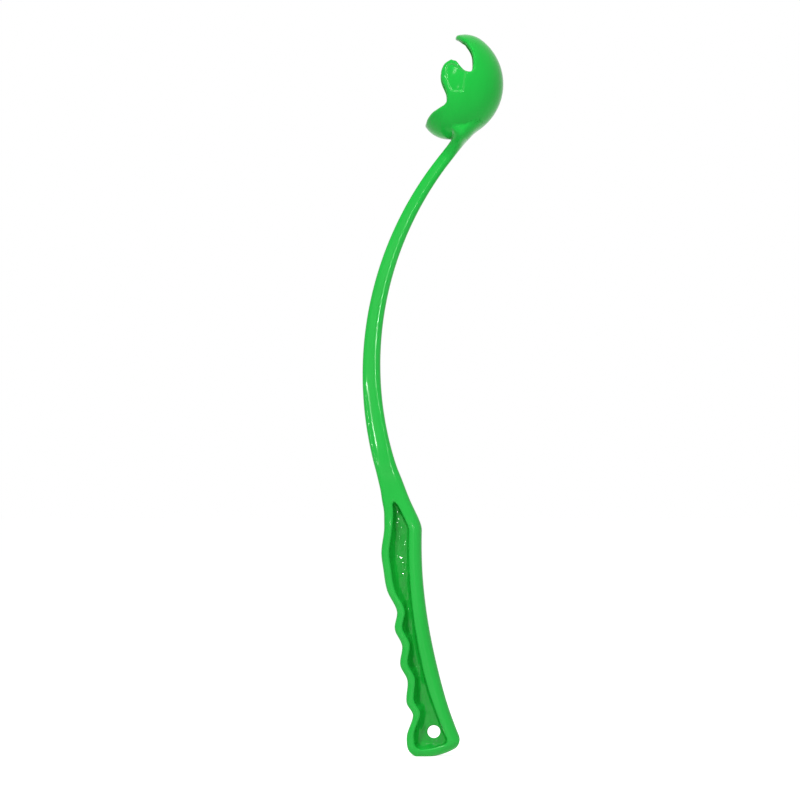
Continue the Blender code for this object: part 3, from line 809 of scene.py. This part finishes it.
def relax(points, faces, middle, surface):
    """Move each point half way to the mean of its neighbours."""
    ends = np.concatenate([faces[:, (k, (k + 1) % 4)] for k in range(4)])
    ends = np.concatenate((ends, ends[:, ::-1]))
    ends = ends[surface[ends[:, 0]] == surface[ends[:, 1]]]
    count = np.bincount(ends[:, 0], minlength=len(points))
    mean = np.stack([
        np.bincount(ends[:, 0], points[ends[:, 1], axis], minlength=len(points))
        for axis in range(3)
    ], axis=1) / np.maximum(count, 1)[:, None]
    moved = np.where(count[:, None] > 1, mix(points, mean, 0.5), points)
    moved[middle, 1] = 0.0
    return moved


def settle(moulding, points, middle, most):
    """Move points onto the moulding's surface, by no more than a given length."""
    slope = moulding.slope(points, PROBE)
    steep = np.maximum((slope * slope).sum(axis=1), LEAST_SLOPE)
    move = -(moulding.field(points) / steep)[:, None] * slope
    reach = np.linalg.norm(move, axis=1, keepdims=True)
    points = points + move * np.minimum(1, most / np.maximum(reach, 1e-12))
    points[middle, 1] = 0.0
    return points


def mirrored(points, normals, middle, faces, sides, surface):
    """Add the half of the net on the other side of Y = 0."""
    twin = np.arange(len(points))
    twin[~middle] = len(points) + np.arange((~middle).sum())
    flip = (1, -1, 1)
    return (
        np.concatenate((points, points[~middle] * flip)),
        np.concatenate((normals, normals[~middle] * flip)),
        np.concatenate((faces, twin[faces][:, ::-1])), np.concatenate((sides, sides)),
        np.concatenate((surface, surface)),
    )


_made = {}


def moulded_net(sizes):
    """Points, normals and faces of the whole moulding, worked out once."""
    key = tuple(getattr(sizes, name) for name in sizes.__annotations__)
    if key not in _made:
        moulding = Moulding(sizes)
        step = sizes.face_size
        lines = lattice(step)
        points, middle, outer, faces, sides = net(lines, *sample(moulding, lines))
        points[middle, 1] = 0.0
        surface = sides.min(axis=1) == 0
        for _ in range(ROUNDS):
            points[outer] = settle(moulding, points[outer], middle[outer], step / 2)
            points = relax(points, faces, middle, outer)
        for _ in range(ROUNDS):
            points[outer] = settle(moulding, points[outer], middle[outer], step / 2)
        normals = np.zeros_like(points)
        normals[outer] = moulding.slope(points[outer], PROBE)
        normals[middle, 1] = 0.0
        normals /= np.maximum(np.linalg.norm(normals, axis=1, keepdims=True), 1e-9)
        _made.clear()
        _made[key] = mirrored(points, normals, middle, faces, sides, surface)
    return _made[key]


def moulded_region(sizes, number):
    """Closed mesh of one region, whose outer normals come from the whole moulding."""
    points, normals, faces, sides, surface = moulded_net(sizes)
    first, second = sides[:, 0] == number, sides[:, 1] == number
    chosen = first | second
    quads = np.where(second[:, None], faces[:, ::-1], faces)[chosen]
    shown = surface[chosen]
    used, local = np.unique(quads, return_inverse=True)
    local = local.reshape(quads.shape)
    mesh = bpy.data.meshes.new("moulded_" + NODES[number])
    mesh.from_pydata(points[used].tolist(), [], local.tolist())
    mesh.polygons.foreach_set("use_smooth", np.ones(len(local), bool))
    corners = normals[used][local.ravel()]
    corners[~np.repeat(shown, 4)] = 0.0
    mesh.normals_split_custom_set(corners.tolist())
    if number == CUP:
        mark_panel_slopes(mesh, sizes, points[used])
    return mesh


def mark_panel_slopes(mesh, sizes, points):
    """Mark the sloping sides of the relief panels: 1 half way down, 0 on the flats."""
    moulding = Moulding(sizes)
    outside, _, _ = moulding.cup_outside(points)
    depth = moulding.relief(points, outside) / RELIEF_DEPTH
    mask = mesh.attributes.new(PANEL_SLOPE, "FLOAT", "POINT")
    mask.data.foreach_set("value", (4 * depth * (1 - depth)).astype(np.float32))


def add_piece(context, number):
    """Put a region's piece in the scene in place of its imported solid."""
    name = "moulded_" + NODES[number]
    made = bpy.data.objects.new(name, moulded_region(context.scene.thrower_sizes, number))
    context.scene.collection.objects.link(made)
    made.data.materials.append(moulded_plastic(context.scene.thrower_finish, number))
    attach(made, "root")
    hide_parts(NODES[number])
    return {"FINISHED"}


# Materials


class Value:
    """Output of a material's node that can stand in a formula."""

    def __init__(self, recipe, output):
        self.recipe, self.output = recipe, output

    def formula(self, operation, first, second):
        """Add the Math node of one step of a formula."""
        settings = {"operation": operation}
        return self.recipe.node("ShaderNodeMath", settings, {0: first, 1: second})

    def __add__(self, other):
        return self.formula("ADD", self, other)

    def __radd__(self, other):
        return self.formula("ADD", other, self)

    def __sub__(self, other):
        return self.formula("SUBTRACT", self, other)

    def __rsub__(self, other):
        return self.formula("SUBTRACT", other, self)

    def __mul__(self, other):
        return self.formula("MULTIPLY", self, other)

    def __rmul__(self, other):
        return self.formula("MULTIPLY", other, self)


class Recipe:
    """Nodes of one material, world or light."""

    def __init__(self, owner):
        owner.use_nodes = True
        self.tree = owner.node_tree
        self.tree.nodes.clear()

    def node(self, kind, settings=None, sockets=None, output=0):
        """Add a node: its settings first, then the values or links of its sockets."""
        made = self.tree.nodes.new(kind)
        for name, setting in (settings or {}).items():
            setattr(made, name, setting)
        for name, value in (sockets or {}).items():
            if isinstance(value, Value):
                self.tree.links.new(value.output, made.inputs[name])
            else:
                made.inputs[name].default_value = value
        return Value(self, made.outputs[output]) if made.outputs else None

    def noise(self, places, scale, detail=2.0, roughness=0.5):
        """Noise between 0 and 1."""
        return self.node("ShaderNodeTexNoise", {}, {
            "Vector": places, "Scale": scale, "Detail": detail, "Roughness": roughness,
        })

    def between(self, value, low, high):
        """Share of the way from low to high, eased and held at both ends."""
        return self.node("ShaderNodeMapRange", {"interpolation_type": "SMOOTHSTEP"}, {
            "Value": value, "From Min": low, "From Max": high,
        })

    def blend(self, mask, first, second):
        """Mix two colours by a mask."""
        return self.node("ShaderNodeMix", {"data_type": "RGBA"}, {
            "Factor": mask, 6: first, 7: second,
        }, output=2)


def polish(recipe, finish, number, places):
    """Polish of a region: the sloping sides of the panels, or the rim and the arm's foot."""
    if number in (SADDLE, WEB):
        return 0.0
    if number == CUP:
        slope = recipe.node("ShaderNodeAttribute", {"attribute_name": PANEL_SLOPE}, output=2)
        return finish.panel_polish * slope
    up = recipe.node("ShaderNodeSeparateXYZ", {}, {"Vector": places}, output=2)
    return finish.grip_polish * (1 - recipe.between(up, *ARM_POLISH_ENDS))


def moulded_plastic(finish, number):
    """Glossy green plastic with flow swirls, mould ripples, light scuffs, and painted shade on
    the web in the grip.
    """
    material = bpy.data.materials.new("green_" + NODES[number])
    recipe = Recipe(material)
    places = recipe.node("ShaderNodeTexCoord", output=3)
    along = recipe.node("ShaderNodeMapping", {}, {"Vector": places, "Scale": FLOW_STRETCH})
    swirl = recipe.between(recipe.noise(along, *SWIRLS), *SWIRL_ENDS)
    scratches = recipe.between(recipe.noise(places, *SCRATCHES), *SCRATCH_ENDS)
    patches = recipe.between(recipe.noise(places, *PATCHES), *PATCH_ENDS)
    scuffs = scratches * patches
    # Real flow swirls give random deeper tone; on the web, painted shade of the recess is
    # added on top
    swirl_and_recess_shade = swirl * SWIRL_COLOUR + (finish.web_painted_shade if number == WEB else 0.0)
    green = recipe.blend(swirl_and_recess_shade, (*finish.green, 1.0), (*finish.deep_green, 1.0))
    green = recipe.blend(scuffs * SCUFF_COLOUR, green, (*finish.scuff_green, 1.0))
    clean = finish.web_roughness if number == WEB else finish.roughness
    worn = scuffs * SCUFF_ROUGHNESS + patches * PATCH_ROUGHNESS
    rough = clean + (finish.scuff_roughness - clean) * worn
    ripples = recipe.noise(along, *(WEB_WAVES if number == WEB else WAVES))
    if number != WEB:
        ripples = ripples + GRAIN_HEIGHT * recipe.noise(places, *GRAIN)
    bump = recipe.node("ShaderNodeBump", {}, {
        "Strength": BUMP_STRENGTH,
        "Distance": finish.web_ripple if number == WEB else finish.ripple,
        "Height": ripples,
    })
    shader = recipe.node("ShaderNodeBsdfPrincipled", {}, {
        "Base Color": green, "Roughness": rough, "Normal": bump, "IOR": PLASTIC_IOR,
        "Specular IOR Level": finish.web_shine if number == WEB else finish.shine,
        "Coat Weight": polish(recipe, finish, number, places),
        "Coat Roughness": finish.polish_roughness,
    })
    recipe.node("ShaderNodeOutputMaterial", {}, {"Surface": shader})
    material.diffuse_color = (*finish.green, 1.0)
    return material


# Stage


def shown_directly(recipe):
    """Mask that is 1 where a camera, mirror or glass ray sees a surface."""
    path = recipe.node("ShaderNodeLightPath").output.node
    camera, mirror, glass = (
        Value(recipe, path.outputs[name])
        for name in ("Is Camera Ray", "Is Glossy Ray", "Is Transmission Ray")
    )
    return camera + mirror + glass


def paper_material(stage):
    """White paper that keeps the thrower's shadow."""
    material = bpy.data.materials.new("white_paper")
    recipe = Recipe(material)
    matt = recipe.node("ShaderNodeBsdfDiffuse", {}, {"Color": (*stage.paper, 1.0)})
    glow = recipe.node("ShaderNodeEmission", {}, {
        "Color": (*stage.paper, 1.0), "Strength": shown_directly(recipe) * stage.paper_glow,
    })
    shader = recipe.node("ShaderNodeAddShader", {}, {0: matt, 1: glow})
    recipe.node("ShaderNodeOutputMaterial", {}, {"Surface": shader})
    return material


def add_floor(context, stage):
    """Pale floor under the thrower."""
    low = CAD_BOX[0][2]
    corners = [
        (FLOOR_HALF * x, FLOOR_HALF * y, low) for x, y in ((-1, -1), (1, -1), (1, 1), (-1, 1))
    ]
    mesh = bpy.data.meshes.new("floor")
    mesh.from_pydata(corners, [], [(0, 1, 2, 3)])
    mesh.materials.append(paper_material(stage))
    floor = bpy.data.objects.new("floor", mesh)
    context.scene.collection.objects.link(floor)


def add_world(context, stage):
    """White room: bright where it is seen, softer as a light."""
    world = bpy.data.worlds.new("white_room")
    context.scene.world = world
    recipe = Recipe(world)
    seen = shown_directly(recipe)
    strength = seen * (1 - stage.room_light) + stage.room_light
    shader = recipe.node("ShaderNodeBackground", {}, {
        "Color": (*stage.paper, 1.0), "Strength": strength,
    })
    recipe.node("ShaderNodeOutputWorld", {}, {"Surface": shader})


def add_softbox(context, aim, name, place, width, power):
    """Square soft light that looks at a point."""
    light = bpy.data.lights.new(name, "AREA")
    light.shape = "SQUARE"
    light.size = width
    light.energy = power
    lamp = bpy.data.objects.new(name, light)
    context.scene.collection.objects.link(lamp)
    lamp.location = place
    lamp.rotation_euler = (Vector(aim) - Vector(place)).to_track_quat("-Z", "Y").to_euler()


def add_camera(context, stage):
    """Long lens square to the thrower's side."""
    camera = bpy.data.cameras.new("camera")
    camera.sensor_width = SENSOR_WIDTH
    camera.lens = camera.sensor_width * stage.camera_away / stage.frame_width
    camera.clip_end = CLIP_END
    eye = bpy.data.objects.new("camera", camera)
    context.scene.collection.objects.link(eye)
    eye.location = (stage.aim_x, -stage.camera_away, stage.aim_z)
    eye.rotation_euler = (math.pi / 2, 0.0, 0.0)
    context.scene.camera = eye


# Operators and panel


class THROWER_OT_cup(bpy.types.Operator):
    """Mould the cup that holds the ball"""

    bl_idname = "thrower.cup"
    bl_label = "Ball cup"

    def execute(self, context):
        return add_piece(context, CUP)


class THROWER_OT_saddle(bpy.types.Operator):
    """Mould the saddle under the cup"""

    bl_idname = "thrower.saddle"
    bl_label = "Cup saddle"

    def execute(self, context):
        return add_piece(context, SADDLE)


class THROWER_OT_arm(bpy.types.Operator):
    """Mould the long springy arm"""

    bl_idname = "thrower.arm"
    bl_label = "Throwing arm"

    def execute(self, context):
        return add_piece(context, ARM)


class THROWER_OT_grip(bpy.types.Operator):
    """Mould the rim of the hand grip, with its finger grooves"""

    bl_idname = "thrower.grip"
    bl_label = "Hand grip"

    def execute(self, context):
        return add_piece(context, RIM)


class THROWER_OT_web(bpy.types.Operator):
    """Mould the web in the grip, with the hang hole"""

    bl_idname = "thrower.web"
    bl_label = "Web and hang hole"

    def execute(self, context):
        return add_piece(context, WEB)


class THROWER_OT_stage(bpy.types.Operator):
    """Set the floor, the lights and the camera"""

    bl_idname = "thrower.stage"
    bl_label = "Stage"

    def execute(self, context):
        stage = context.scene.thrower_stage
        add_floor(context, stage)
        add_world(context, stage)
        for lamp in LAMPS:
            add_softbox(context, (0.0, 0.0, stage.aim_z), *lamp)
        add_camera(context, stage)
        context.scene.view_settings.view_transform = "Standard"
        return {"FINISHED"}


class THROWER_PT_panel(bpy.types.Panel):
    """Panel that lists the thrower's steps and sizes"""

    bl_idname = "THROWER_PT_panel"
    bl_label = "Dog ball thrower"
    bl_space_type = "VIEW_3D"
    bl_region_type = "UI"
    bl_category = "Thrower"

    def draw(self, context):
        for step in STEPS:
            self.layout.operator(step.bl_idname)
        scene = context.scene
        for group in (scene.thrower_sizes, scene.thrower_finish, scene.thrower_stage):
            box = self.layout.box()
            for name in group.__annotations__:
                box.prop(group, name)


STEPS = (
    THROWER_OT_cup, THROWER_OT_saddle, THROWER_OT_arm, THROWER_OT_grip, THROWER_OT_web,
    THROWER_OT_stage,
)
CLASSES = (ThrowerSizes, ThrowerFinish, ThrowerStage, *STEPS, THROWER_PT_panel)


def register():
    """Register the classes and their settings."""
    for made in CLASSES:
        bpy.utils.register_class(made)
    bpy.types.Scene.thrower_sizes = PointerProperty(type=ThrowerSizes)
    bpy.types.Scene.thrower_finish = PointerProperty(type=ThrowerFinish)
    bpy.types.Scene.thrower_stage = PointerProperty(type=ThrowerStage)


def unregister():
    """Remove the classes and their settings."""
    del bpy.types.Scene.thrower_sizes
    del bpy.types.Scene.thrower_finish
    del bpy.types.Scene.thrower_stage
    for made in reversed(CLASSES):
        bpy.utils.unregister_class(made)


def main():
    """Build the thrower and its stage."""
    register()
    bpy.ops.thrower.cup()
    bpy.ops.thrower.saddle()
    bpy.ops.thrower.arm()
    bpy.ops.thrower.grip()
    bpy.ops.thrower.web()
    bpy.ops.thrower.stage()


if __name__ == "__main__":
    main()
